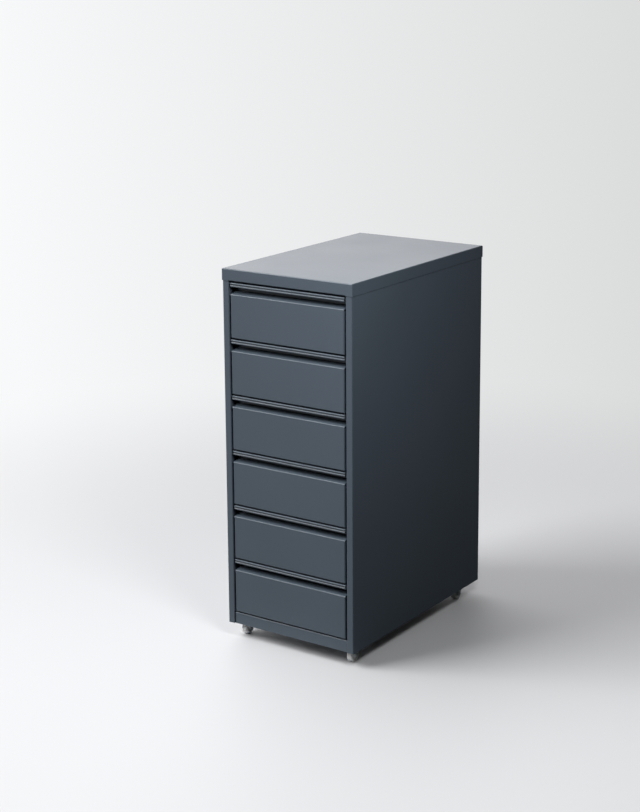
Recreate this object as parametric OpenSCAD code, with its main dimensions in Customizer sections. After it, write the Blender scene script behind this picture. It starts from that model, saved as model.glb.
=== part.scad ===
// Narrow steel cabinet with six drawers on four swivel casters.
// Millimetres, +Z up, front towards -Y, origin on the floor at the centre of the footprint.

/* [Cabinet] */
// Width over the top cap
cab_w = 280; // [240:1:400]
// Depth over the top cap
cab_d = 450; // [400:1:600]
// Height of the steel body, from the lower edge of its skirts to the top
body_h = 672; // [600:1:800]
// Space between the floor and the lower edge of the body
ground_gap = 28; // [27:0.5:36]
// Thickness of the carcass sheet
sheet_t = 0.7; // [0.6:0.1:1.2]
// Inside radius of the carcass bends
bend_r = 1.2; // [0.8:0.1:2]
// Height of the skirt round the top cap
cap_skirt_h = 22; // [18:0.5:30]
// Depth of the lip folded in under the front of the top cap
cap_lip_d = 10; // [6:0.5:14]
// Height of the skirt under the bottom drawer
base_skirt_h = 22; // [20:0.5:30]
// Distance from the back of the front frame to that skirt
skirt_setback = 1.5; // [0.5:0.1:2]
// Height of the flanges that fix the bottom pan to the side panels
pan_flange_h = 16; // [12:0.5:18]
// Width of the front frame at each side of the drawers
frame_w = 14.5; // [12:0.5:16]
// Depth of the return behind the front frame
return_d = 10; // [6:0.5:12]
// Width of the flange that carries the back panel
rear_flange_w = 12; // [8:0.5:20]

/* [Drawer fronts] */
// Number of drawers
drawer_n = 6; // [5:1:7]
// Thickness of the drawer sheet
drawer_t = 0.6; // [0.5:0.1:1]
// Inside radius of the drawer bends
drawer_r = 1.0; // [0.8:0.1:1.4]
// Gap above and below each drawer front
drawer_gap = 3; // [2:0.25:5]
// Gap between a drawer front and the frame at each side
side_gap = 3.5; // [2.5:0.25:4.5]
// Height of the strip across the top of a drawer front
strip_h = 7.5; // [7:0.25:10]
// Height of the shallow groove rolled along the strip
groove_h = 2.2; // [1.6:0.1:2.6]
// Depth of that groove
groove_d = 0.7; // [0.6:0.05:0.9]
// Height of the finger slot between the strip and the ledge below it
slot_h = 13.5; // [11:0.5:18]
// Depth of the finger recess behind the front face
recess_d = 19.4; // [15:0.2:24]
// Rise of the ledge from its front edge to its back
ledge_rise = 4.2; // [2:0.2:6]
// Depth of the returns at the sides of a drawer front
front_return_d = 14; // [8:0.5:16]
// Length of the lap between a drawer front and its tray's floor
lap = 12; // [8:0.5:20]

/* [Drawer trays and runners] */
// Width of a tray over its side walls
tray_w = 228; // [222:0.5:232]
// Width of the rim that runs in the runner
rim_w = 9.5; // [8:0.5:10]
// Height of the rim's turned down edge
rim_h = 5.3; // [4.5:0.1:7]
// Distance from the top of a drawer front down to the rim
rim_drop = 14; // [11:0.5:18]
// Space between the back of a tray and the back panel
tray_back_gap = 14.6; // [12:0.2:30]
// Width of the flange along the top of a tray's back wall
tray_back_flange = 6; // [4:0.5:8]
// Travel of a drawer
travel = 310; // [200:5:320]
// Running gap under a rim, and at each stop
slide_gap = 0.3; // [0.2:0.05:0.5]
// Space over a rim in its runner
rim_headroom = 2; // [1.8:0.1:3]
// Height of the lug on a rim that meets the runner's stop
lug_h = 1.4; // [1.2:0.05:1.5]
// Space between a tray's side wall and the inner edge of its runner
runner_side_gap = 1.6; // [1:0.1:3]
// Width of a stop tab
tab_w = 5; // [3.5:0.5:5.5]

/* [Casters] */
// Distance from the top cap's side to a caster's swivel axis
caster_inset_x = 22; // [22:0.5:40]
// Distance from the top cap's front or back to a caster's swivel axis
caster_inset_y = 42; // [38:0.5:60]
// Angle that the casters stand at, from the front towards the right side
caster_angle = 0; // [0:1:60]
// Depth of the channel that stiffens the bottom pan over the casters
channel_h = 10.2; // [9:0.2:11]
// Width of that channel's base
channel_w = 46; // [44:0.5:60]
// Width of the channel's flanges
channel_flange_w = 11; // [8:0.5:11]
// Thickness of the channel
channel_t = 1.2; // [1:0.1:1.5]
// Side of the square caster plate
plate_w = 36; // [35:0.5:40]
// Thickness of the caster plate
plate_t = 1.5; // [1.2:0.1:2]
// Spacing of the screws in the caster plate
screw_pitch = 27; // [26:0.5:28]
// Diameter of the caster screws
screw_d = 4; // [3:0.5:4]
// Clearance round a screw in its hole
screw_fit = 0.1; // [0.05:0.05:0.3]
// Diameter of the wheel
wheel_d = 25; // [22:0.5:26]
// Width of the wheel
wheel_w = 12; // [8:0.5:13]
// Distance from the swivel axis to the wheel's axle
trail = 11; // [10:0.5:14]
// Diameter of the axle
axle_d = 4; // [3:0.5:5]
// Diameter of the rivet that the fork turns on
kingpin_d = 5; // [4:0.5:5.5]
// Radial clearance of the axle and the rivet in what turns on them
running_fit = 0.06; // [0.03:0.01:0.1]
// Thickness of the fork
fork_t = 1.2; // [1:0.1:1.5]
// Gap between the wheel and each side of the fork
wheel_gap = 0.6; // [0.4:0.1:1]
// Diameter of the balls in the swivel race
ball_d = 2.4; // [2:0.1:2.6]
// Number of balls in the swivel race
ball_n = 14; // [10:1:15]
// Clearance between the balls and the faces they run on
ball_fit = 0.1; // [0.05:0.01:0.15]

/* [Hidden] */
// Corners of the cabinet, each with the signs of its X and its Y
CORNERS = [["front_left", -1, -1], ["front_right", 1, -1], ["rear_left", -1, 1], ["rear_right", 1, 1]];
DRAWERS = [for (i = [1 : drawer_n]) i];
$fn = 64;

steel_blue = "#505a64";
zinc = "#b9bec2";
tyre_grey = "#a3a6a8";

// Length by which a cutting tool passes the face that it cuts
over = 1;
// Gap between parts of the carcass that are set side by side
set_gap = 0.3;

// Levels of the carcass
top_z = ground_gap + body_h;
pan_z = ground_gap + base_skirt_h;
pan_under = pan_z - sheet_t;
cap_low_z = top_z - cap_skirt_h;

// Faces of the carcass, measured from its centre lines
side_x = cab_w / 2 - sheet_t;
inside_x = side_x - sheet_t;
opening_x = cab_w / 2 - frame_w;
face_y = cab_d / 2 - sheet_t;
inside_y = face_y - sheet_t;

// Drawer fronts
front_room = body_h - cap_skirt_h - base_skirt_h - (drawer_n + 1) * drawer_gap;
front_h = floor(10 * front_room / drawer_n) / 10;
front_w = 2 * (opening_x - side_gap);
ledge_z = front_h - strip_h - slot_h;
recess_back = recess_d + drawer_t;
fold_join = 2.5;
strip_hem = 2.8;
strip_r = 0.6;
groove_r = 0.3;
// Number of flats that draw a bend that isn't square
bend_flats = 6;

// Trays: inner faces of the walls, with heights from the lower edge of the drawer front
tray_in_x = tray_w / 2 - drawer_t;
tray_front_y = -face_y + recess_back + drawer_t;
tray_back_y = inside_y - sheet_t - tray_back_gap;
tray_floor_z = 2 * drawer_t;
rim_x = tray_w / 2 + rim_w;
rim_z = front_h - rim_drop;
weld_drop = 1.5;
weld_top = front_h - weld_drop;

// Runners
runner_low = rim_z - rim_h - slide_gap;
runner_room = rim_h + slide_gap + rim_headroom;
runner_in_x = tray_w / 2 + runner_side_gap;
runner_front_gap = 1;
runner_front_y = -face_y + recess_back + runner_front_gap;
runner_back_y = tray_back_y + drawer_t + slide_gap;
stop_gap = 0.7;
stop_drop = rim_headroom - stop_gap;
lug_y = runner_front_y + sheet_t + travel + slide_gap;
tab_x = tray_w / 2 + rim_w / 2;

// Casters, measured down from the channel
channel_z = pan_under - channel_h;
caster_x = cab_w / 2 - caster_inset_x;
caster_y = cab_d / 2 - caster_inset_y;
plate_under = channel_z - plate_t;
race_r = 7.7;
race_wall = 0.5;
cup_wall = 1;
crown_z = plate_under - race_wall - 2 * ball_fit - ball_d;
crown_under = crown_z - fork_t;
crown_r = 10.2;
// Step pressed into the crown, where the fork's own sheet lies a little lower than its rim
crown_step = 0.2;
axle_z = wheel_d / 2;
fork_in = wheel_w / 2 + wheel_gap;
axle_boss_r = axle_d / 2 + 3.2;
axle_head_r = axle_d / 2 + 1.4;
axle_head_t = 1;
rivet_head_t = 1.6;
rivet_head_r = kingpin_d / 2 + 2.4;
rivet_room = 0.6;
screw_head_r = screw_d * 0.95;
screw_head_h = screw_d * 0.55;
screw_tail = 3.5;

// Height of the lower edge of drawer front i, counted from the top
function front_z(i) = pan_z + drawer_gap + (drawer_n - i) * (front_h + drawer_gap);

// ---- Folded sheet ----
// A section is a path of [x, y, inside radius] that follows one face of the sheet.
// The sheet lies on the right-hand side of the path.

// Direction of leg i of a path
function heading(path, i) = atan2(path[i + 1].y - path[i].y, path[i + 1].x - path[i].x);
// Turn at corner i, positive to the left
function turn(path, i) =
    let (a = heading(path, i) - heading(path, i - 1))
    a - 360 * round(a / 360);
// Radius of the drawn face in the bend at corner i
function face_r(path, i, t) = path[i].z + (turn(path, i) < 0 ? t : 0);
// Length that the bend at corner i takes from each leg
function setback(path, i, t) =
    i == 0 || i == len(path) - 1 ? 0 : face_r(path, i, t) * tan(abs(turn(path, i)) / 2);

// Unit vectors along leg i and to its left
function ahead(path, i) = let (a = heading(path, i)) [cos(a), sin(a)];
function left_of(path, i) = let (a = heading(path, i) + 90) [cos(a), sin(a)];

// Points along the bend at corner i, on the face that lies off to the right of the path
function bend_points(path, i, off, t) =
    let (
        a = turn(path, i),
        side = sign(a),
        reach = face_r(path, i, t),
        from = heading(path, i - 1) - 90 * side,
        corner = [path[i].x, path[i].y],
        centre = corner - setback(path, i, t) * ahead(path, i - 1) + side * reach * left_of(path, i - 1)
    )
    [for (k = [0 : bend_flats]) let (b = from + a * k / bend_flats)
        centre + (reach + side * off) * [cos(b), sin(b)]];

// Points along one face of the sheet from corner a to corner b
function face_points(path, a, b, off, t) = [
    [path[a].x, path[a].y] + setback(path, a, t) * ahead(path, a) - off * left_of(path, a),
    for (i = [a + 1 : 1 : b - 1]) each bend_points(path, i, off, t),
    [path[b].x, path[b].y] - setback(path, b, t) * ahead(path, b - 1) - off * left_of(path, b - 1)
];

function reversed(list) = [for (i = [len(list) - 1 : -1 : 0]) list[i]];
function is_square(path, i) = abs(abs(turn(path, i)) - 90) < 0.01;

// Bend of 90 degrees at corner i
module square_bend(path, i, t) {
    side = sign(turn(path, i));
    outer = path[i].z + t;
    translate([path[i].x, path[i].y])
        rotate(heading(path, i - 1))
            translate([-setback(path, i, t), side * face_r(path, i, t)])
                mirror([0, side - 1])
                    intersection() {
                        difference() {
                            circle(outer);
                            circle(path[i].z);
                        }
                        translate([0, -2 * outer]) square(2 * outer);
                    }
}

module folded(path, t) {
    last = len(path) - 1;
    square_bends = [for (i = [1 : last - 1]) if (is_square(path, i)) i];
    stops = concat([0], square_bends, [last]);
    for (k = [1 : len(stops) - 1])
        polygon(concat(
            face_points(path, stops[k - 1], stops[k], t, t),
            reversed(face_points(path, stops[k - 1], stops[k], 0, t))
        ));
    for (i = square_bends) square_bend(path, i, t);
}

// Sections drawn as (Y, Z) and run along X, or drawn as (X, Z) and run along Y
module along_x(length) {
    rotate([90, 0, 90]) linear_extrude(length, center = true) children();
}

module along_y(length) {
    rotate([90, 0, 0]) linear_extrude(length, center = true) children();
}

// Outline standing on the line y = 0, with two round corners at the top
module crowned(w, h, r) {
    flat = w / 2 - r;
    wall = h - r;
    for (s = [0, 1]) mirror([s, 0]) {
        polygon([[0, 0], [flat + r, 0], [flat + r, wall], [flat, wall], [flat, wall + r], [0, wall + r]]);
        translate([flat, wall]) intersection() {
            circle(r);
            square(r);
        }
    }
}

// Block with round edges all round its top face
module crowned_block(w, d, h, r) {
    intersection() {
        along_y(d + 2 * over) crowned(w, h, r);
        along_x(w + 2 * over) crowned(d, h, r);
    }
}

// Shallow pan with its open side down and closed corners
module pressed_pan(w, d, h, t, r) {
    difference() {
        crowned_block(w, d, h, r + t);
        translate([0, 0, -over]) crowned_block(w - 2 * t, d - 2 * t, h - t + over, r);
    }
}

// ---- Carcass ----

module top_cap() {
    lip_w = 2 * (opening_x - set_gap);
    lip_join = cap_low_z + 2 * (bend_r + sheet_t);
    color(steel_blue) {
        difference() {
            translate([0, 0, cap_low_z]) pressed_pan(cab_w, cab_d, cap_skirt_h, sheet_t, bend_r);
            translate([-lip_w / 2, -cab_d / 2 - over, cap_low_z - over])
                cube([lip_w, over + 2 * sheet_t, lip_join - cap_low_z + over]);
        }
        along_x(lip_w) folded([
            [cap_lip_d - cab_d / 2, cap_low_z],
            [-cab_d / 2, cap_low_z, bend_r],
            [-cab_d / 2, lip_join]
        ], sheet_t);
    }
}

module side_panel() {
    color(steel_blue)
    difference() {
        translate([0, 0, ground_gap])
            linear_extrude(body_h - sheet_t - bend_r) mirror([1, 0]) folded([
                [-opening_x, return_d - face_y],
                [-opening_x, -face_y, bend_r],
                [-side_x, -face_y, bend_r],
                [-side_x, face_y, bend_r],
                [rear_flange_w - side_x, face_y]
            ], sheet_t);
        // The return stops above the bottom pan's skirt, which laps behind the frame
        translate([opening_x - over, -inside_y, ground_gap - over])
            cube([over + 2 * sheet_t + bend_r, return_d + over, base_skirt_h + over + set_gap]);
    }
}

module back_panel() {
    color(steel_blue)
        translate([-inside_x + 2 * bend_r, inside_y - sheet_t, pan_z + set_gap])
            cube([2 * inside_x - 4 * bend_r, sheet_t, top_z - sheet_t - pan_z - 2 * set_gap]);
}

module bottom_pan() {
    skirt_y = inside_y - skirt_setback;
    relief = 2 * (bend_r + sheet_t);
    color(steel_blue) {
        along_x(2 * (inside_x - bend_r - set_gap)) folded([
            [-skirt_y, ground_gap],
            [-skirt_y, pan_z, bend_r],
            [inside_y, pan_z, bend_r],
            [inside_y, ground_gap]
        ], sheet_t);
        along_y(2 * (skirt_y - relief)) folded([
            [-inside_x, pan_z - pan_flange_h],
            [-inside_x, pan_z, bend_r],
            [inside_x, pan_z, bend_r],
            [inside_x, pan_z - pan_flange_h]
        ], sheet_t);
    }
}

module runner(i) {
    length = runner_back_y + sheet_t - runner_front_y;
    color(zinc)
    translate([0, 0, front_z(i) + runner_low]) {
        translate([0, runner_front_y + length / 2, 0]) along_y(length) folded([
            [runner_in_x, 0],
            [inside_x - sheet_t, 0, bend_r],
            [inside_x - sheet_t, runner_room, bend_r],
            [runner_in_x, runner_room]
        ], sheet_t);
        // Stop for the closed drawer
        translate([tab_x - tab_w / 2, runner_back_y, -sheet_t]) cube([tab_w, sheet_t, rim_h]);
        // Stop for the open drawer
        translate([tab_x - tab_w / 2, runner_front_y, runner_room - stop_drop])
            cube([tab_w, sheet_t, stop_drop + sheet_t]);
    }
}

// ---- Drawers ----

module recess_section() {
    y0 = -face_y;
    back = y0 + recess_d;
    strip_y = y0 + drawer_t;
    groove_y = strip_y + groove_d;
    groove_top = front_h - (strip_h - groove_h) / 2;
    groove_low = groove_top - groove_h;
    strip_low = front_h - strip_h + drawer_t;
    folded([
        [y0, ledge_z - fold_join],
        [y0, ledge_z, drawer_r],
        [back, ledge_z + ledge_rise, drawer_r],
        [back, front_h - drawer_t, drawer_r],
        [strip_y, front_h - drawer_t, strip_r],
        [strip_y, groove_top + groove_d, groove_r],
        [groove_y, groove_top, groove_r],
        [groove_y, groove_low, groove_r],
        [strip_y, groove_low - groove_d, groove_r],
        [strip_y, strip_low, strip_r],
        [strip_y + strip_hem, strip_low]
    ], drawer_t);
}

// Flat panel with returns at its sides and, along its lower edge, the lap for the tray
module front_panel() {
    depth = recess_back + lap;
    panel_h = ledge_z - fold_join;
    spare = 2 * (drawer_r + drawer_t);
    difference() {
        translate([0, depth - face_y, (panel_h + spare) / 2]) rotate([90, 0, 0])
            pressed_pan(front_w, panel_h + spare, depth, drawer_t, drawer_r);
        translate([-front_w / 2 - over, -face_y - over, panel_h])
            cube([front_w + 2 * over, depth + 2 * over, spare + over]);
        for (s = [0, 1]) mirror([s, 0, 0])
            translate([tray_in_x - drawer_r, front_return_d - face_y, -over])
                cube([front_w / 2, depth, panel_h + 2 * over]);
    }
}

module drawer_front(i) {
    color(steel_blue)
    translate([0, 0, front_z(i)]) {
        along_x(front_w) recess_section();
        front_panel();
    }
}

module tray_sides() {
    front_y = tray_front_y - drawer_t;
    length = tray_back_y + drawer_t - front_y;
    side_h = rim_z - tray_floor_z + drawer_t;
    translate([0, front_y + length / 2, 0]) intersection() {
        along_y(length) folded([
            [-rim_x, rim_z - rim_h],
            [-rim_x, rim_z, drawer_r],
            [-tray_in_x, rim_z, drawer_r],
            [-tray_in_x, tray_floor_z, drawer_r],
            [tray_in_x, tray_floor_z, drawer_r],
            [tray_in_x, rim_z, drawer_r],
            [rim_x, rim_z, drawer_r],
            [rim_x, rim_z - rim_h]
        ], drawer_t);
        along_x(2 * rim_x + 2 * over)
            translate([0, rim_z]) mirror([0, 1]) crowned(length, side_h, drawer_r + drawer_t);
    }
}

module tray_ends() {
    wall_low = tray_floor_z + drawer_r;
    along_x(2 * (tray_in_x - drawer_r)) folded([
        [tray_front_y, weld_top],
        [tray_front_y, tray_floor_z, drawer_r],
        [tray_back_y, tray_floor_z, drawer_r],
        [tray_back_y, rim_z, drawer_r],
        [tray_back_y + drawer_t + tray_back_flange, rim_z]
    ], drawer_t);
    translate([-tray_in_x, tray_front_y - drawer_t, wall_low])
        cube([2 * tray_in_x, drawer_t, weld_top - wall_low]);
    translate([-tray_in_x, tray_back_y, wall_low])
        cube([2 * tray_in_x, drawer_t, rim_z - drawer_r - drawer_t - wall_low]);
}

module drawer_tray(i) {
    color(steel_blue)
    translate([0, 0, front_z(i)]) {
        tray_sides();
        tray_ends();
        for (s = [0, 1]) mirror([s, 0, 0])
            translate([tab_x - tab_w / 2, lug_y, rim_z - drawer_t])
                cube([tab_w, drawer_t, drawer_t + lug_h]);
    }
}

// ---- Casters ----

// Places a caster's parts, drawn at the origin with the wheel trailing towards the front
module at_corner(corner, angle = 0) {
    translate([corner[1] * caster_x, corner[2] * caster_y, 0]) rotate(angle) children();
}

module screw_places() {
    for (x = [-1, 1], y = [-1, 1]) translate([x, y] * screw_pitch / 2) children();
}

module caster_channel(side) {
    half = channel_w / 2 - channel_t;
    edge = channel_w / 2 + channel_flange_w;
    length = 2 * (inside_x - sheet_t - bend_r - set_gap);
    color(zinc)
    translate([0, side * caster_y, 0]) difference() {
        along_x(length) folded([
            [-edge, pan_under],
            [-half, pan_under, channel_t],
            [-half, channel_z + channel_t, channel_t],
            [half, channel_z + channel_t, channel_t],
            [half, pan_under, channel_t],
            [edge, pan_under]
        ], channel_t);
        for (x = [-caster_x, caster_x]) translate([x, 0, channel_z - over]) {
            cylinder(h = channel_t + 2 * over, r = rivet_head_r + rivet_room);
            screw_places() cylinder(h = channel_t + 2 * over, d = screw_d + 2 * screw_fit);
        }
    }
}

module caster_plate() {
    race_in = kingpin_d / 2 + running_fit;
    cup_in = race_r + ball_d / 2 + ball_fit;
    cup_out = cup_in + cup_wall;
    cup_low = crown_z + ball_d * 0.3;
    roof = plate_under - race_wall;
    color(zinc) difference() {
        union() {
            translate([-plate_w / 2, -plate_w / 2, plate_under]) cube([plate_w, plate_w, plate_t]);
            rotate_extrude() polygon([
                [race_in, plate_under],
                [race_in, roof],
                [cup_in, roof],
                [cup_in, cup_low],
                [cup_out, cup_low],
                [cup_out, plate_under]
            ]);
        }
        translate([0, 0, plate_under - 2 * over]) cylinder(h = plate_t + 4 * over, r = race_in);
        translate([0, 0, plate_under - over])
            screw_places() cylinder(h = plate_t + 2 * over, d = screw_d + 2 * screw_fit);
    }
}

// Rivet along Z between low and high, with a chamfered head at each end
module rivet(d, low, high, head_r, head_t) {
    rotate_extrude() polygon([
        [0, low - head_t],
        [head_r - head_t * 0.4, low - head_t],
        [head_r, low - head_t * 0.5],
        [head_r, low],
        [d / 2, low],
        [d / 2, high],
        [head_r, high],
        [head_r, high + head_t * 0.5],
        [head_r - head_t * 0.4, high + head_t],
        [0, high + head_t]
    ]);
}

module caster_kingpin() {
    color(zinc)
        rivet(kingpin_d, crown_under - crown_step - ball_fit, channel_z, rivet_head_r, rivet_head_t);
}

module caster_balls() {
    color(zinc)
        for (k = [1 : ball_n]) rotate(k * 360 / ball_n)
            translate([race_r, 0, crown_z + ball_fit + ball_d / 2]) sphere(d = ball_d);
}

module caster_screws() {
    length = plate_t + channel_t + screw_tail;
    color(zinc)
        for (corner = CORNERS) at_corner(corner) translate([0, 0, plate_under])
            screw_places() rotate_extrude() polygon([
                [0, -screw_head_h],
                [screw_head_r * 0.7, -screw_head_h],
                [screw_head_r, -screw_head_h * 0.4],
                [screw_head_r, 0],
                [screw_d / 2, 0],
                [screw_d / 2, length - screw_d / 4],
                [screw_d / 4, length],
                [0, length]
            ]);
}

// Point where a line from p touches a circle of radius r round c
function touch(p, c, r, side) =
    let (a = atan2(p.y - c.y, p.x - c.x) + side * acos(r / norm(p - c)))
    c + r * [cos(a), sin(a)];

// Side view of the fork as (Y, Z): wide at the crown, round at the axle
module fork_outline() {
    set_in = 0.04;
    axle = [-trail, axle_z];
    front = [-crown_r * 0.85, crown_z];
    back = [crown_r * 0.85, crown_z];
    reach = axle_boss_r - set_in;
    polygon([front, touch(front, axle, reach, 1), axle, touch(back, axle, reach, -1), back]);
    translate(axle) circle(axle_boss_r);
}

module caster_fork() {
    out = fork_in + fork_t;
    low = axle_z - axle_boss_r - over;
    color(zinc) difference() {
        union() {
            intersection() {
                along_y(4 * trail + 4 * crown_r) folded([
                    [-out, low],
                    [-out, crown_z - crown_step, fork_t],
                    [out, crown_z - crown_step, fork_t],
                    [out, low]
                ], fork_t);
                along_x(2 * out + 2 * over) fork_outline();
            }
            translate([0, 0, crown_under]) cylinder(h = fork_t, r = crown_r);
        }
        translate([0, 0, crown_under - over])
            cylinder(h = fork_t + 2 * over, r = kingpin_d / 2 + running_fit);
        translate([0, -trail, axle_z]) rotate([0, 90, 0])
            cylinder(h = 2 * out + 2 * over, r = axle_d / 2 + running_fit, center = true);
    }
}

module caster_axle() {
    out = fork_in + fork_t;
    color(zinc) translate([0, -trail, axle_z]) rotate([0, 90, 0])
        rivet(axle_d, -out, out, axle_head_r, axle_head_t);
}

module caster_wheel() {
    hub_r = axle_d / 2 + 2.2;
    rim_in = wheel_d / 2 - 3.6;
    dish = 1.6;
    tread_r = 3;
    color(tyre_grey) translate([0, -trail, axle_z]) rotate([0, 90, 0])
        rotate_extrude() difference() {
            rotate(-90) crowned(wheel_w, wheel_d / 2, tread_r);
            translate([-over, -wheel_w]) square([over + axle_d / 2 + running_fit, 2 * wheel_w]);
            for (s = [0, 1]) mirror([0, s])
                translate([hub_r, wheel_w / 2 - dish]) square([rim_in - hub_r, dish + over]);
        }
}

top_cap();
side_panel();  // side_panel_right
mirror([1, 0, 0]) side_panel();  // side_panel_left
back_panel();
bottom_pan();
caster_channel(-1);  // caster_channel_front
caster_channel(1);  // caster_channel_rear
caster_screws();
for (i = DRAWERS) {
    runner(i);
    mirror([1, 0, 0]) runner(i);
    drawer_front(i);
    drawer_tray(i);
}
for (c = CORNERS) {
    at_corner(c) caster_plate();
    at_corner(c) caster_kingpin();
    at_corner(c) caster_balls();
    at_corner(c, caster_angle) caster_fork();
    at_corner(c, caster_angle) caster_axle();
    at_corner(c, caster_angle) caster_wheel();
}
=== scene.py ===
"""Looks of a narrow steel drawer cabinet on four swivel casters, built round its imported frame.

The frame holds every solid piece in metres, +Z up, with the drawers opening towards -Y. This script
gives each piece its finish, softens the cut edges of the sheet, and sets up a plain studio.
"""

import logging
import math
from dataclasses import dataclass, field
from enum import Enum
from typing import Any

import bmesh
import bpy
from mathutils import Matrix, Vector

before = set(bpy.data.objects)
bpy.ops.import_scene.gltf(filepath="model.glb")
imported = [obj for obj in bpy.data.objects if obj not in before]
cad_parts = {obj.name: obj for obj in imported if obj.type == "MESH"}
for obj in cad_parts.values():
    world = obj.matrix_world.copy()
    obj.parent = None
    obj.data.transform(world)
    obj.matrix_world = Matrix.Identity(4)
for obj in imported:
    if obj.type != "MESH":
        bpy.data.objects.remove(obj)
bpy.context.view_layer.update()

log = logging.getLogger("cabinet")

Socket = bpy.types.NodeSocket
Pair = tuple[float, float]
Triple = tuple[float, float, float]

MM = 0.001

# Drawers are numbered from the top
DRAWER_NUMBERS = range(1, 7)

# Columns of the node editor are this far apart
NODE_SPACING = 220

# Faces that turn by less than this are shaded as one smooth surface
SMOOTH_ANGLE = math.radians(32)
# Edges that turn by more than this are softened, with so many rows of faces
SOFT_EDGE_ANGLE = math.radians(50)
SOFT_EDGE_ROWS = 2
# Rays that look for an edge, and for the painted shade of a seam
EDGE_SAMPLES = 4
SEAM_SHADE_SAMPLES = 6
# Open share of the surroundings in the depth of a seam, and clear of it, for the painted shade there
SEAM_SHADE_OPENNESS: Pair = (0.78, 0.98)

# The studio's front, turned from -Y towards +X, and its distance in metres
FRONT_AZIMUTH = math.radians(34.65)
FRONT_DISTANCE = 3.044


class Finish(Enum):
    """Finishes of the cabinet, each with the record's slot that it stands for."""

    POWDER_COAT = "blue_grey_paint"
    ZINC_PLATE = "zinc_plate"
    BEARING_STEEL = "ball_steel"
    WHEEL_NYLON = "wheel_plastic"


class Corner(Enum):
    """Corners of the cabinet, as the casters are named."""

    FRONT_LEFT = "front_left"
    FRONT_RIGHT = "front_right"
    REAR_LEFT = "rear_left"
    REAR_RIGHT = "rear_right"


def linear(colour: str) -> tuple[float, float, float, float]:
    """Turns an sRGB hex colour to linear light.

    Args:
        colour: The colour as "#rrggbb".

    Returns:
        Red, green, blue and an alpha of 1, in linear light.
    """
    channels = [int(colour[i : i + 2], 16) / 255 for i in (1, 3, 5)]
    red, green, blue = (c / 12.92 if c <= 0.04045 else ((c + 0.055) / 1.055) ** 2.4 for c in channels)
    return red, green, blue, 1.0


def per_metre(size_mm: float) -> float:
    """Returns the texture scale that repeats a pattern every size_mm."""
    return 1.0 / (size_mm * MM)


class NodeGraph:
    """Shader nodes of one material or world, added one at a time with their settings and links."""

    def __init__(self, tree: bpy.types.NodeTree) -> None:
        """Empties a node tree and keeps it.

        Args:
            tree: The tree of the material or the world.
        """
        self.tree = tree
        self.tree.nodes.clear()
        self.column = 0

    def add(self, kind: str, settings: dict[str, Any] | None = None, **inputs: Any) -> bpy.types.Node:
        """Adds a node, sets its properties, and fills or links its inputs.

        Args:
            kind: The node's type, such as "ShaderNodeTexNoise".
            settings: Properties of the node itself, by name.
            **inputs: Values or sockets, by input name with "_" for a space, or "i0", "i1" for an
                input by number.

        Returns:
            The new node.
        """
        node = self.tree.nodes.new(kind)
        node.location = (NODE_SPACING * self.column, 0)
        self.column += 1
        for name, value in (settings or {}).items():
            setattr(node, name, value)
        for name, value in inputs.items():
            numbered = name[0] == "i" and name[1:].isdigit()
            socket = node.inputs[int(name[1:]) if numbered else name.replace("_", " ")]
            if isinstance(value, Socket):
                self.tree.links.new(value, socket)
            else:
                socket.default_value = value
        return node


def new_material(name: str) -> tuple[bpy.types.Material, NodeGraph]:
    """Makes a material with no nodes yet.

    Args:
        name: Common name of the real material, with how its surface was made.

    Returns:
        The material, and its nodes.
    """
    material = bpy.data.materials.new(name)
    material.use_nodes = True
    return material, NodeGraph(material.node_tree)


def edge_mask(graph: NodeGraph, radius_mm: float, bends: Pair) -> Socket:
    """Finds the outer and inner edges of a piece.

    Args:
        graph: The material's nodes.
        radius_mm: Reach of the edge in millimetres.
        bends: Bends of the surface, each 1 minus a cosine, where the mask starts and where it is full.

    Returns:
        A socket that is 1 on an edge and 0 away from it.
    """
    rounded = graph.add("ShaderNodeBevel", {"samples": EDGE_SAMPLES}, Radius=radius_mm * MM)
    normal = graph.add("ShaderNodeNewGeometry").outputs["Normal"]
    cosine = graph.add(
        "ShaderNodeVectorMath", {"operation": "DOT_PRODUCT"}, i0=rounded.outputs[0], i1=normal
    )
    bend = graph.add("ShaderNodeMath", {"operation": "SUBTRACT"}, i0=1.0, i1=cosine.outputs["Value"])
    mask = graph.add("ShaderNodeMapRange", Value=bend.outputs[0], From_Min=bends[0], From_Max=bends[1])
    return mask.outputs["Result"]


def seam_shade(graph: NodeGraph, reach_mm: float, share: float) -> Socket:
    """Paints shade into the narrow strips where one sheet meets another, darkening the colour there.

    Args:
        graph: The material's nodes.
        reach_mm: Reach of a seam in millimetres.
        share: What is left of the colour in the depth of a seam.

    Returns:
        A socket that is 1 on open sheet and falls to the share in a seam.
    """
    # Painted shade: the more closed in the sheet's surroundings are, the darker its colour
    openness = graph.add("ShaderNodeAmbientOcclusion", {"samples": SEAM_SHADE_SAMPLES}, Distance=reach_mm * MM)
    shade = graph.add(
        "ShaderNodeMapRange", Value=openness.outputs["AO"], From_Min=SEAM_SHADE_OPENNESS[0],
        From_Max=SEAM_SHADE_OPENNESS[1], To_Min=share, To_Max=1.0,
    )
    return shade.outputs["Result"]


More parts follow.
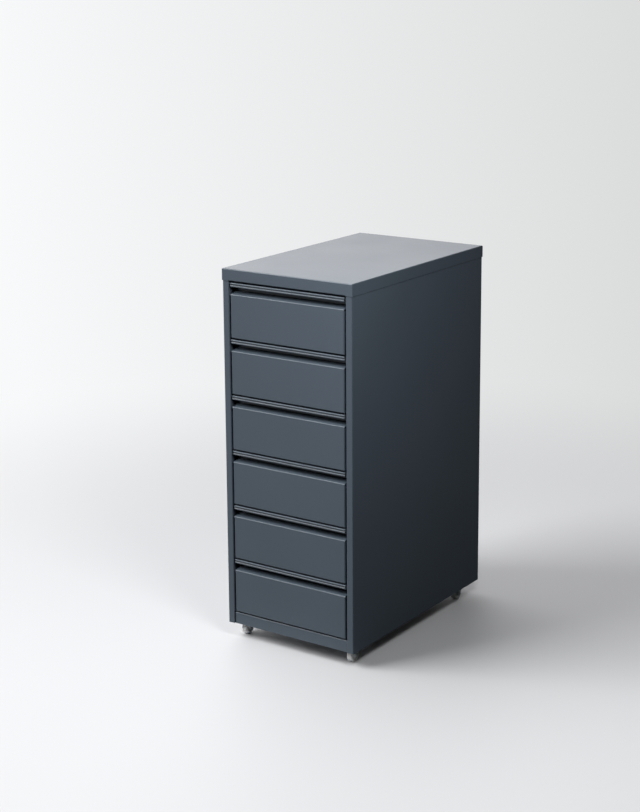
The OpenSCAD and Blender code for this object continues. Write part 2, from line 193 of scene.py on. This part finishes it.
@dataclass(frozen=True)
class PowderCoat:
    """Polyester powder coat, sprayed dry on steel sheet and baked.

    It gives the eye a satin skin with a faint orange peel, a little paler over an edge, where the film
    thins and a highlight is painted in.
    """

    name: str = "satin_polyester_powder_coat"
    colour: str = "#48525c"
    roughness: float = 0.36
    ior: float = 1.42
    # Orange peel waves over 1 to 3 mm and is about a hundredth of a millimetre deep
    peel_mm: float = 1.8
    peel_depth_mm: float = 0.010
    # Grains of powder that didn't quite flow out, and how far they lighten or darken the film
    grain_mm: float = 0.35
    grain_depth_mm: float = 0.0022
    grain_tone: float = 0.035
    # Film thickness drifts slowly over a panel, and its tone and its polish drift with it
    drift_mm: float = 160.0
    drift_tone: float = 0.06
    drift_polish: float = 0.05
    # Film that thins over an edge, painted paler there also as a highlight on the bend: its colour, its
    # reach, where it starts and is full, and how much shows
    thin_film_highlight_colour: str = "#59636d"
    thin_film_highlight_mm: float = 0.7
    thin_film_highlight_bends: Pair = (0.02, 0.30)
    thin_film_highlight_share: float = 0.45
    # Painted shade in the seams, where one sheet laps another: its reach, and the share of the colour that
    # is left there
    seam_shade_mm: float = 3.0
    seam_shade_share: float = 0.18

    def make(self) -> bpy.types.Material:
        """Builds the material.

        Returns:
            The new material.
        """
        material, graph = new_material(self.name)
        place = graph.add("ShaderNodeTexCoord").outputs["Object"]
        drift = graph.add("ShaderNodeTexNoise", Vector=place, Scale=per_metre(self.drift_mm), Detail=3.0)
        grain = graph.add("ShaderNodeTexNoise", Vector=place, Scale=per_metre(self.grain_mm), Detail=1.0)
        peel = graph.add("ShaderNodeTexNoise", Vector=place, Scale=per_metre(self.peel_mm), Detail=2.0)
        polish = graph.add(
            "ShaderNodeMapRange", Value=drift.outputs["Fac"], To_Min=self.roughness - self.drift_polish,
            To_Max=self.roughness + self.drift_polish,
        )
        waves = graph.add(
            "ShaderNodeBump", Height=peel.outputs["Fac"], Distance=self.peel_depth_mm * MM, Strength=1.0
        )
        grains = graph.add(
            "ShaderNodeBump", Height=grain.outputs["Fac"], Distance=self.grain_depth_mm * MM, Strength=1.0,
            Normal=waves.outputs["Normal"],
        )
        film = self.film(graph, drift.outputs["Fac"], grain.outputs["Fac"])
        shader = graph.add(
            "ShaderNodeBsdfPrincipled", Base_Color=film, Roughness=polish.outputs[0], IOR=self.ior,
            Normal=grains.outputs["Normal"],
        )
        graph.add("ShaderNodeOutputMaterial", Surface=shader.outputs[0])
        return material

    def film(self, graph: NodeGraph, drift: Socket, grain: Socket) -> Socket:
        """Colours the film, paler over its edges with a thinner film and a painted highlight, and darker in
        its seams with painted shade.

        Args:
            graph: The material's nodes.
            drift: The slow pattern of the film's thickness.
            grain: The fine pattern of its grains.

        Returns:
            The colour socket.
        """
        tone = graph.add(
            "ShaderNodeMapRange", Value=drift, To_Min=1.0 - self.drift_tone, To_Max=1.0 + self.drift_tone
        )
        fleck = graph.add(
            "ShaderNodeMapRange", Value=grain, To_Min=1.0 - self.grain_tone, To_Max=1.0 + self.grain_tone
        )
        even = graph.add(
            "ShaderNodeMath", {"operation": "MULTIPLY"}, i0=tone.outputs[0], i1=fleck.outputs[0]
        )
        # Painted shade: the paint is darkened where one sheet laps another, as shade falls there
        painted_seam_shade = seam_shade(graph, self.seam_shade_mm, self.seam_shade_share)
        shade = graph.add("ShaderNodeMath", {"operation": "MULTIPLY"}, i0=even.outputs[0], i1=painted_seam_shade)
        paint = graph.add(
            "ShaderNodeMix", {"data_type": "RGBA", "blend_type": "MULTIPLY"}, i0=1.0,
            i6=linear(self.colour), i7=shade.outputs[0],
        )
        # Painted highlight, together with the thinner film: the paint turns paler over its edges
        edge = edge_mask(graph, self.thin_film_highlight_mm, self.thin_film_highlight_bends)
        thin_film_highlight_mask = graph.add("ShaderNodeMath", {"operation": "MULTIPLY"}, i0=edge, i1=self.thin_film_highlight_share)
        colour = graph.add(
            "ShaderNodeMix", {"data_type": "RGBA"}, i0=thin_film_highlight_mask.outputs[0], i6=paint.outputs[2],
            i7=linear(self.thin_film_highlight_colour),
        )
        return colour.outputs[2]


@dataclass(frozen=True)
class ZincPlate:
    """Bright zinc, plated on pressed steel.

    It gives the eye a pale, slightly clouded metal with fine drawing lines and duller edges.
    """

    name: str = "bright_zinc_plated_steel"
    colour: str = "#d2d6d8"
    dull_colour: str = "#b4b9bc"
    roughness: float = 0.42
    # Clouds left by the bath, how dull they are at most, and what they do to the roughness
    cloud_mm: float = 9.0
    cloud_dullness: float = 0.55
    cloud_polish: Pair = (-0.08, 0.10)
    # Drawing lines of the pressed sheet, as coarse as they need to show, drawn out along Y
    line_mm: float = 0.5
    line_depth_mm: float = 0.003
    line_stretch: Triple = (1.0, 0.06, 1.0)
    # Edges that handling has dulled: their reach, where they start and are full, and how dull they are
    edge_mm: float = 0.4
    edge_bends: Pair = (0.05, 0.5)
    edge_dullness: float = 0.5

    def make(self) -> bpy.types.Material:
        """Builds the material.

        Returns:
            The new material.
        """
        material, graph = new_material(self.name)
        place = graph.add("ShaderNodeTexCoord").outputs["Object"]
        cloud = graph.add("ShaderNodeTexNoise", Vector=place, Scale=per_metre(self.cloud_mm), Detail=4.0)
        drawn = graph.add("ShaderNodeMapping", Vector=place, Scale=self.line_stretch)
        lines = graph.add(
            "ShaderNodeTexNoise", Vector=drawn.outputs[0], Scale=per_metre(self.line_mm), Detail=1.0
        )
        edge = edge_mask(graph, self.edge_mm, self.edge_bends)
        clouded = graph.add(
            "ShaderNodeMapRange", Value=cloud.outputs["Fac"], To_Min=0.0, To_Max=self.cloud_dullness
        )
        worn = graph.add("ShaderNodeMath", {"operation": "MULTIPLY"}, i0=edge, i1=self.edge_dullness)
        dull = graph.add(
            "ShaderNodeMath", {"operation": "MAXIMUM"}, i0=clouded.outputs[0], i1=worn.outputs[0]
        )
        colour = graph.add(
            "ShaderNodeMix", {"data_type": "RGBA"}, i0=dull.outputs[0], i6=linear(self.colour),
            i7=linear(self.dull_colour),
        )
        polish = graph.add(
            "ShaderNodeMapRange", Value=cloud.outputs["Fac"], To_Min=self.roughness + self.cloud_polish[0],
            To_Max=self.roughness + self.cloud_polish[1],
        )
        bump = graph.add(
            "ShaderNodeBump", Height=lines.outputs["Fac"], Distance=self.line_depth_mm * MM, Strength=1.0
        )
        shader = graph.add(
            "ShaderNodeBsdfPrincipled", Base_Color=colour.outputs[2], Roughness=polish.outputs[0],
            Metallic=1.0, Normal=bump.outputs["Normal"],
        )
        graph.add("ShaderNodeOutputMaterial", Surface=shader.outputs[0])
        return material


@dataclass(frozen=True)
class BearingSteel:
    """Ground and polished bearing steel under a thin film of grease.

    It gives the eye a dark, sharp shine with duller smears.
    """

    name: str = "polished_bearing_steel"
    colour: str = "#c9cbcd"
    roughness: float = 0.14
    # Smears of grease on a ball: their colour, and how far they dull it
    smear_colour: str = "#a8a79f"
    smear_mm: float = 0.8
    smear_depth_mm: float = 0.002
    smear_dullness: float = 0.2

    def make(self) -> bpy.types.Material:
        """Builds the material.

        Returns:
            The new material.
        """
        material, graph = new_material(self.name)
        place = graph.add("ShaderNodeTexCoord").outputs["Object"]
        smear = graph.add("ShaderNodeTexNoise", Vector=place, Scale=per_metre(self.smear_mm), Detail=2.0)
        polish = graph.add(
            "ShaderNodeMapRange", Value=smear.outputs["Fac"], To_Min=self.roughness,
            To_Max=self.roughness + self.smear_dullness,
        )
        tone = graph.add(
            "ShaderNodeMix", {"data_type": "RGBA"}, i0=smear.outputs["Fac"], i6=linear(self.colour),
            i7=linear(self.smear_colour),
        )
        bump = graph.add(
            "ShaderNodeBump", Height=smear.outputs["Fac"], Distance=self.smear_depth_mm * MM, Strength=1.0
        )
        shader = graph.add(
            "ShaderNodeBsdfPrincipled", Base_Color=tone.outputs[2], Roughness=polish.outputs[0],
            Metallic=1.0, Normal=bump.outputs["Normal"],
        )
        graph.add("ShaderNodeOutputMaterial", Surface=shader.outputs[0])
        return material


@dataclass(frozen=True)
class MouldedNylon:
    """Pale nylon, injection moulded with a fine spark finish.

    It gives the eye a soft off-white with a little light inside it and a scuffed band where it rolls.
    """

    name: str = "moulded_pale_nylon"
    colour: str = "#e9eaea"
    roughness: float = 0.48
    ior: float = 1.53
    # Pits that the spark-eroded mould leaves
    spark_mm: float = 0.25
    spark_depth_mm: float = 0.004
    # Scuffs of rolling: their colour, which part of the pattern shows, how much, and its roughness
    scuff_colour: str = "#c2c2bf"
    scuff_mm: float = 3.5
    scuff_part: Pair = (0.45, 0.75)
    scuff_share: float = 0.5
    scuff_polish: Pair = (-0.06, 0.10)
    # Worn rims: their reach, where they start and are full, and how worn they are
    rim_mm: float = 0.8
    rim_bends: Pair = (0.02, 0.25)
    rim_share: float = 0.25
    # Light inside the nylon: its share, its depth, and how far red, green and blue reach into it
    inner_share: float = 0.7
    inner_mm: float = 5.0
    inner_reach: Triple = (1.0, 0.95, 0.9)

    def make(self) -> bpy.types.Material:
        """Builds the material.

        Returns:
            The new material.
        """
        material, graph = new_material(self.name)
        place = graph.add("ShaderNodeTexCoord").outputs["Object"]
        spark = graph.add("ShaderNodeTexNoise", Vector=place, Scale=per_metre(self.spark_mm), Detail=1.0)
        scuff = graph.add("ShaderNodeTexNoise", Vector=place, Scale=per_metre(self.scuff_mm), Detail=5.0)
        rim = edge_mask(graph, self.rim_mm, self.rim_bends)
        grime = graph.add(
            "ShaderNodeMapRange", Value=scuff.outputs["Fac"], From_Min=self.scuff_part[0],
            From_Max=self.scuff_part[1], To_Max=self.scuff_share,
        )
        worn = graph.add("ShaderNodeMath", {"operation": "MULTIPLY"}, i0=rim, i1=self.rim_share)
        both = graph.add(
            "ShaderNodeMath", {"operation": "ADD", "use_clamp": True}, i0=grime.outputs[0],
            i1=worn.outputs[0],
        )
        colour = graph.add(
            "ShaderNodeMix", {"data_type": "RGBA"}, i0=both.outputs[0], i6=linear(self.colour),
            i7=linear(self.scuff_colour),
        )
        polish = graph.add(
            "ShaderNodeMapRange", Value=scuff.outputs["Fac"], To_Min=self.roughness + self.scuff_polish[0],
            To_Max=self.roughness + self.scuff_polish[1],
        )
        bump = graph.add(
            "ShaderNodeBump", Height=spark.outputs["Fac"], Distance=self.spark_depth_mm * MM, Strength=1.0
        )
        shader = graph.add(
            "ShaderNodeBsdfPrincipled", Base_Color=colour.outputs[2], Roughness=polish.outputs[0],
            IOR=self.ior, Subsurface_Weight=self.inner_share, Subsurface_Radius=self.inner_reach,
            Subsurface_Scale=self.inner_mm * MM, Normal=bump.outputs["Normal"],
        )
        graph.add("ShaderNodeOutputMaterial", Surface=shader.outputs[0])
        return material


RECIPES: dict[Finish, PowderCoat | ZincPlate | BearingSteel | MouldedNylon] = {
    Finish.POWDER_COAT: PowderCoat(),
    Finish.ZINC_PLATE: ZincPlate(),
    Finish.BEARING_STEEL: BearingSteel(),
    Finish.WHEEL_NYLON: MouldedNylon(),
}


@dataclass
class Workshop:
    """Keeps one material for each finish and dresses pieces in it."""

    materials: dict[Finish, bpy.types.Material] = field(default_factory=dict)

    def material(self, finish: Finish) -> bpy.types.Material:
        """Finds a finish's material, which is made on first use.

        Args:
            finish: The finish.

        Returns:
            Its material.
        """
        if finish not in self.materials:
            self.materials[finish] = RECIPES[finish].make()
        return self.materials[finish]

    def dress(self, node: str, finish: Finish, edge_mm: float = 0.0) -> None:
        """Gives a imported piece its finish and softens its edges.

        Args:
            node: Name of the piece in the frame.
            finish: The finish that it takes.
            edge_mm: Radius of its softened edges in millimetres, or 0 for none.
        """
        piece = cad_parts[node]
        piece.data.materials.clear()
        piece.data.materials.append(self.material(finish))
        for polygon in piece.data.polygons:
            polygon.use_smooth = True
        piece.data.set_sharp_from_angle(angle=SMOOTH_ANGLE)
        if edge_mm:
            bevel = piece.modifiers.new("soft_edges", "BEVEL")
            bevel.width = edge_mm * MM
            bevel.segments = SOFT_EDGE_ROWS
            bevel.limit_method = "ANGLE"
            bevel.angle_limit = SOFT_EDGE_ANGLE
            bevel.harden_normals = True
        log.info("%s: %s", node, finish.name.lower())


@dataclass
class Carcass:
    """Folded steel shell with its channels and runners."""

    edge_mm: float = 0.18

    def dress(self, shop: Workshop) -> None:
        """Dresses the shell in paint and what stiffens it in zinc.

        Args:
            shop: The workshop that dresses the pieces.
        """
        for node in ("top_cap", "side_panel_left", "side_panel_right", "back_panel", "bottom_pan"):
            shop.dress(node, Finish.POWDER_COAT, self.edge_mm)
        for node in ("caster_channel_front", "caster_channel_rear"):
            shop.dress(node, Finish.ZINC_PLATE, self.edge_mm)
        for side in ("left", "right"):
            for number in DRAWER_NUMBERS:
                shop.dress(f"runner_{side}_{number}", Finish.ZINC_PLATE, self.edge_mm)


@dataclass
class Drawer:
    """One drawer, its folded front and its tray."""

    number: int
    edge_mm: float = 0.15

    def dress(self, shop: Workshop) -> None:
        """Dresses the front and the tray in paint."""
        for kind in ("front", "tray"):
            shop.dress(f"drawer_{kind}_{self.number}", Finish.POWDER_COAT, self.edge_mm)


@dataclass
class Caster:
    """One swivel caster under a corner of the cabinet."""

    corner: Corner
    edge_mm: float = 0.15
    wheel_edge_mm: float = 0.3

    def dress(self, shop: Workshop) -> None:
        """Dresses the caster's steel in zinc, its balls in polish and its wheel in nylon.

        Args:
            shop: The workshop that dresses the pieces.
        """
        for kind in ("plate", "kingpin", "fork", "axle"):
            shop.dress(f"caster_{kind}_{self.corner.value}", Finish.ZINC_PLATE, self.edge_mm)
        shop.dress(f"caster_balls_{self.corner.value}", Finish.BEARING_STEEL)
        shop.dress(f"caster_wheel_{self.corner.value}", Finish.WHEEL_NYLON, self.wheel_edge_mm)


@dataclass
class Cabinet:
    """The whole cabinet: its shell, six drawers and four casters."""

    carcass: Carcass = field(default_factory=Carcass)
    drawers: list[Drawer] = field(default_factory=lambda: [Drawer(number) for number in DRAWER_NUMBERS])
    casters: list[Caster] = field(default_factory=lambda: [Caster(corner) for corner in Corner])

    def dress(self, shop: Workshop) -> None:
        """Dresses every part of the cabinet, and then the screws that hold its casters.

        Args:
            shop: The workshop that dresses the pieces.
        """
        self.carcass.dress(shop)
        for drawer in self.drawers:
            drawer.dress(shop)
        for caster in self.casters:
            caster.dress(shop)
        shop.dress("caster_screws", Finish.ZINC_PLATE)


def window_side(graph: NodeGraph, where: Socket, edge: Pair, most: float = 1.0) -> Socket:
    """Tells the window's side of the studio, to the left, from the side that the cabinet shades.

    Args:
        graph: The nodes of the floor or the world.
        where: A place on the floor, or a direction.
        edge: X up to which it is the window's side, and X from which it is the shaded side.
        most: What the window's side counts.

    Returns:
        A socket that falls from the most to 0 over the edge.
    """
    across = graph.add("ShaderNodeSeparateXYZ", i0=where)
    side = graph.add(
        "ShaderNodeMapRange", Value=across.outputs["X"], From_Min=edge[0], From_Max=edge[1], To_Min=most,
        To_Max=0.0,
    )
    return side.outputs[0]


@dataclass(frozen=True)
class Backdrop:
    """Pale wall round the studio, which the floor fades to and the world shows.

    It turns from its left tone to its right tone, as a wall does that a window lights from one side.
    """

    left_colour: str = "#f8f9fa"
    right_colour: str = "#dadbdb"
    # Sine of the angle, to each side of straight ahead, where a tone is full
    turn: float = 0.19

    def tone(self, graph: NodeGraph, ahead: Socket) -> Socket:
        """Colours the backdrop.

        Args:
            graph: The nodes of the floor or the world.
            ahead: The direction of the place on the backdrop.

        Returns:
            The colour socket.
        """
        right = Vector((math.cos(FRONT_AZIMUTH), math.sin(FRONT_AZIMUTH), 0.0))
        side = graph.add("ShaderNodeVectorMath", {"operation": "DOT_PRODUCT"}, i0=ahead, i1=right)
        share = graph.add(
            "ShaderNodeMapRange", Value=side.outputs["Value"], From_Min=-self.turn, From_Max=self.turn
        )
        colour = graph.add(
            "ShaderNodeMix", {"data_type": "RGBA"}, i0=share.outputs[0], i6=linear(self.left_colour),
            i7=linear(self.right_colour),
        )
        return colour.outputs[2]

    def seen(self, graph: NodeGraph, gloss: Socket) -> Socket:
        """Finds the rays that see the backdrop, and the floor's own tone, as the eye does.

        Args:
            graph: The nodes of the floor or the world.
            gloss: Share of it that metal and satin paint reflect.

        Returns:
            A socket that is 1 for the eye and through glass, the share for gloss, and 0 otherwise.
        """
        path = graph.add("ShaderNodeLightPath")
        mirrored = graph.add(
            "ShaderNodeMath", {"operation": "MULTIPLY"}, i0=path.outputs["Is Glossy Ray"], i1=gloss
        )
        eye = graph.add(
            "ShaderNodeMath", {"operation": "MAXIMUM"}, i0=path.outputs["Is Camera Ray"],
            i1=path.outputs["Is Transmission Ray"],
        )
        either = graph.add(
            "ShaderNodeMath", {"operation": "MAXIMUM"}, i0=mirrored.outputs[0], i1=eye.outputs[0]
        )
        return either.outputs[0]


@dataclass(frozen=True)
class Floor:
    """Round floor in matt paint.

    It gives the eye a pale, even ground with no shine, which fades to the backdrop far from the cabinet.
    """

    name: str = "studio_floor"
    paint_name: str = "matt_floor_paint"
    colour: str = "#c3c4c6"
    roughness: float = 0.6
    radius: float = 40.0
    sides: int = 96
    # Slow clouds in the paint, and how far they lighten or darken it
    cloud_mm: float = 900.0
    cloud_tone: float = 0.015
    # What it gives back to the cabinet, near its front and away from there, less than the eye sees of it
    bounce_near: str = "#a8a9aa"
    bounce_far: str = "#303234"
    bounce_middle: Triple = (0.0, -0.24, 0.0)
    bounce_stretch: Triple = (1.0, 3.6, 1.0)
    bounce_fall: Pair = (0.14, 0.30)
    # Share of the lit floor on the window's side that gloss mirrors, and where that side ends
    gloss: float = 0.25
    window_edge: Pair = (-0.05, 0.16)
    # Distances from the cabinet where the fade starts and where only the backdrop is left
    fade: Pair = (0.55, 1.9)

    def build(self, backdrop: Backdrop) -> None:
        """Builds the floor.

        Args:
            backdrop: The wall that it fades to.
        """
        shape = bmesh.new()
        bmesh.ops.create_circle(shape, cap_ends=True, segments=self.sides, radius=self.radius)
        mesh = bpy.data.meshes.new(self.name)
        shape.to_mesh(mesh)
        shape.free()
        mesh.materials.append(self.make_paint(backdrop))
        floor = bpy.data.objects.new(self.name, mesh)
        bpy.context.scene.collection.objects.link(floor)
        log.info("%s: %s", self.name, self.paint_name)

    def make_paint(self, backdrop: Backdrop) -> bpy.types.Material:
        """Builds the floor's paint, which takes the tone of the backdrop with distance.

        Args:
            backdrop: The wall that it fades to.

        Returns:
            The new material.
        """
        material, graph = new_material(self.paint_name)
        place = graph.add("ShaderNodeTexCoord").outputs["Object"]
        seen = backdrop.seen(graph, window_side(graph, place, self.window_edge, self.gloss))
        shown = graph.add(
            "ShaderNodeMix", {"data_type": "RGBA"}, i0=seen, i6=self.bounce(graph, place),
            i7=self.clouds(graph, place),
        )
        paint = graph.add("ShaderNodeBsdfPrincipled", Base_Color=shown.outputs[2], Roughness=self.roughness)
        tone = backdrop.tone(graph, self.ahead(graph, place))
        glow = graph.add("ShaderNodeEmission", Color=tone, Strength=1.0)
        reach = graph.add("ShaderNodeVectorMath", {"operation": "LENGTH"}, i0=place)
        faded = graph.add(
            "ShaderNodeMapRange", {"interpolation_type": "SMOOTHSTEP"}, Value=reach.outputs["Value"],
            From_Min=self.fade[0], From_Max=self.fade[1],
        )
        share = graph.add("ShaderNodeMath", {"operation": "MULTIPLY"}, i0=faded.outputs[0], i1=seen)
        mix = graph.add("ShaderNodeMixShader", i0=share.outputs[0], i1=paint.outputs[0], i2=glow.outputs[0])
        graph.add("ShaderNodeOutputMaterial", Surface=mix.outputs[0])
        return material

    def clouds(self, graph: NodeGraph, place: Socket) -> Socket:
        """Colours the floor as the eye sees it.

        Args:
            graph: The floor's nodes.
            place: The place on the floor.

        Returns:
            The colour socket.
        """
        cloud = graph.add("ShaderNodeTexNoise", Vector=place, Scale=per_metre(self.cloud_mm), Detail=3.0)
        tone = graph.add(
            "ShaderNodeMapRange", Value=cloud.outputs["Fac"], To_Min=1.0 - self.cloud_tone,
            To_Max=1.0 + self.cloud_tone,
        )
        colour = graph.add(
            "ShaderNodeMix", {"data_type": "RGBA", "blend_type": "MULTIPLY"}, i0=1.0,
            i6=linear(self.colour), i7=tone.outputs[0],
        )
        return colour.outputs[2]

    def bounce(self, graph: NodeGraph, place: Socket) -> Socket:
        """Colours the floor for the light that it throws back, in an oval round the cabinet's front.

        Args:
            graph: The floor's nodes.
            place: The place on the floor.

        Returns:
            The colour socket.
        """
        off = graph.add("ShaderNodeVectorMath", {"operation": "SUBTRACT"}, i0=place, i1=self.bounce_middle)
        oval = graph.add(
            "ShaderNodeVectorMath", {"operation": "MULTIPLY"}, i0=off.outputs[0], i1=self.bounce_stretch
        )
        length = graph.add("ShaderNodeVectorMath", {"operation": "LENGTH"}, i0=oval.outputs[0])
        near = graph.add(
            "ShaderNodeMapRange", {"interpolation_type": "SMOOTHSTEP"}, Value=length.outputs["Value"],
            From_Min=self.bounce_fall[0], From_Max=self.bounce_fall[1], To_Min=1.0, To_Max=0.0,
        )
        colour = graph.add(
            "ShaderNodeMix", {"data_type": "RGBA"}, i0=near.outputs[0], i6=linear(self.bounce_far),
            i7=linear(self.bounce_near),
        )
        return colour.outputs[2]

    def ahead(self, graph: NodeGraph, place: Socket) -> Socket:
        """Finds the direction of a place on the floor from the studio's front.

        Args:
            graph: The floor's nodes.
            place: The place on the floor.

        Returns:
            The direction socket, of length 1.
        """
        front = Vector((math.sin(FRONT_AZIMUTH), -math.cos(FRONT_AZIMUTH), 0.0)) * FRONT_DISTANCE
        away = graph.add("ShaderNodeVectorMath", {"operation": "SUBTRACT"}, i0=place, i1=front)
        return graph.add("ShaderNodeVectorMath", {"operation": "NORMALIZE"}, i0=away.outputs[0]).outputs[0]


@dataclass(frozen=True)
class Room:
    """Light of the room round the studio, bright at one end and dark at the other."""

    name: str = "studio_room"
    colour: str = "#f8f7f8"
    # Direction of the bright end, which lies low to the left and behind
    bright_end: Triple = (-0.90, 0.30, 0.32)
    bright: float = 2.40
    dark: float = 0.01
    # Cosines to the bright end between which the dark turns bright
    turn: Pair = (0.45, 0.95)
    # The bright end is the soft light itself, so from this strength on gloss sees it and no backdrop
    light_from: float = 1.0
    # X of a direction where the window's side ends, and where the shaded side starts
    window_edge: Pair = (0.0, 0.5)

    def build(self, backdrop: Backdrop) -> None:
        """Builds the world, which shows the backdrop to the eye and lights the cabinet from the room.

        Args:
            backdrop: The wall that the eye sees.
        """
        world = bpy.data.worlds.new(self.name)
        world.use_nodes = True
        bpy.context.scene.world = world
        graph = NodeGraph(world.node_tree)
        ahead = graph.add("ShaderNodeTexCoord").outputs["Generated"]
        end = Vector(self.bright_end).normalized()
        along = graph.add("ShaderNodeVectorMath", {"operation": "DOT_PRODUCT"}, i0=ahead, i1=end)
        level = graph.add(
            "ShaderNodeMapRange", {"interpolation_type": "SMOOTHSTEP"}, Value=along.outputs["Value"],
            From_Min=self.turn[0], From_Max=self.turn[1], To_Min=self.dark, To_Max=self.bright,
        )
        room = graph.add("ShaderNodeBackground", Color=linear(self.colour), Strength=level.outputs[0])
        wall = graph.add("ShaderNodeBackground", Color=backdrop.tone(graph, ahead), Strength=1.0)
        dim = graph.add(
            "ShaderNodeMath", {"operation": "LESS_THAN"}, i0=level.outputs[0], i1=self.light_from
        )
        side = window_side(graph, ahead, self.window_edge)
        gloss = graph.add("ShaderNodeMath", {"operation": "MULTIPLY"}, i0=side, i1=dim.outputs[0])
        seen = backdrop.seen(graph, gloss.outputs[0])
        mix = graph.add("ShaderNodeMixShader", i0=seen, i1=room.outputs[0], i2=wall.outputs[0])
        graph.add("ShaderNodeOutputWorld", Surface=mix.outputs[0])
        log.info("%s: pale backdrop", self.name)


@dataclass(frozen=True)
class SoftLamp:
    """Square lamp with a soft panel that faces the middle of the cabinet."""

    name: str
    place: Triple
    size: float
    watts: float
    aim: Triple = (0.0, 0.0, 0.35)

    def hang(self) -> None:
        """Hangs the lamp at its place and turns it to the cabinet."""
        lamp = bpy.data.lights.new(self.name, "AREA")
        lamp.shape = "SQUARE"
        lamp.size = self.size
        lamp.energy = self.watts
        holder = bpy.data.objects.new(self.name, lamp)
        holder.location = self.place
        ahead = Vector(self.aim) - Vector(self.place)
        holder.rotation_euler = ahead.to_track_quat("-Z", "Y").to_euler()
        bpy.context.scene.collection.objects.link(holder)
        log.info("%s: %.1f W", self.name, self.watts)


@dataclass(frozen=True)
class Viewpoint:
    """Camera at the studio's front, looking a little down at the cabinet."""

    name: str = "camera"
    target: Triple = (0.0730, -0.225, 0.6545)
    elevation: float = math.radians(11.97)
    roll: float = math.radians(-0.42)
    lens_mm: float = 78.16
    sensor_mm: float = 36.0
    # Fall of the camera's back, as a share of the image's height
    fall: float = 0.123
    # Distances in metres between which it sees
    sight: Pair = (0.05, 200.0)

    def set_up(self) -> None:
        """Sets the camera up and makes it the scene's own."""
        back = Vector((
            math.sin(FRONT_AZIMUTH) * math.cos(self.elevation),
            -math.cos(FRONT_AZIMUTH) * math.cos(self.elevation),
            math.sin(self.elevation),
        ))
        data = bpy.data.cameras.new(self.name)
        data.lens = self.lens_mm
        data.shift_y = -self.fall
        data.sensor_width = self.sensor_mm
        data.clip_start, data.clip_end = self.sight
        camera = bpy.data.objects.new(self.name, data)
        camera.location = Vector(self.target) + back * FRONT_DISTANCE
        aim = (-back).to_track_quat("-Z", "Y").to_matrix()
        camera.rotation_euler = (aim @ Matrix.Rotation(self.roll, 3, "Z")).to_euler()
        bpy.context.scene.collection.objects.link(camera)
        bpy.context.scene.camera = camera
        log.info("%s: %.2f mm lens", self.name, self.lens_mm)


@dataclass(frozen=True)
class Studio:
    """Plain studio: a pale floor and backdrop, soft light from the front left, and the camera.

    A large lamp hangs high to the front left, and a small weak one near the front right corner.
    """

    backdrop: Backdrop = Backdrop()
    floor: Floor = Floor()
    room: Room = Room()
    window_lamp: SoftLamp = SoftLamp("window_lamp", place=(-2.35, -2.40, 3.35), size=2.6, watts=248.0)
    corner_lamp: SoftLamp = SoftLamp("corner_lamp", place=(0.70, -0.55, 1.13), size=0.4, watts=7.3)
    viewpoint: Viewpoint = Viewpoint()

    def build(self) -> None:
        """Builds the floor, the world, the lamps and the camera."""
        self.floor.build(self.backdrop)
        self.room.build(self.backdrop)
        self.window_lamp.hang()
        self.corner_lamp.hang()
        self.viewpoint.set_up()


def main() -> None:
    """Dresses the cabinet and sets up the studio."""
    logging.basicConfig(level=logging.INFO, format="%(message)s")
    bpy.context.scene.view_settings.view_transform = "Standard"
    Cabinet().dress(Workshop())
    Studio().build()


if __name__ == "__main__":
    main()
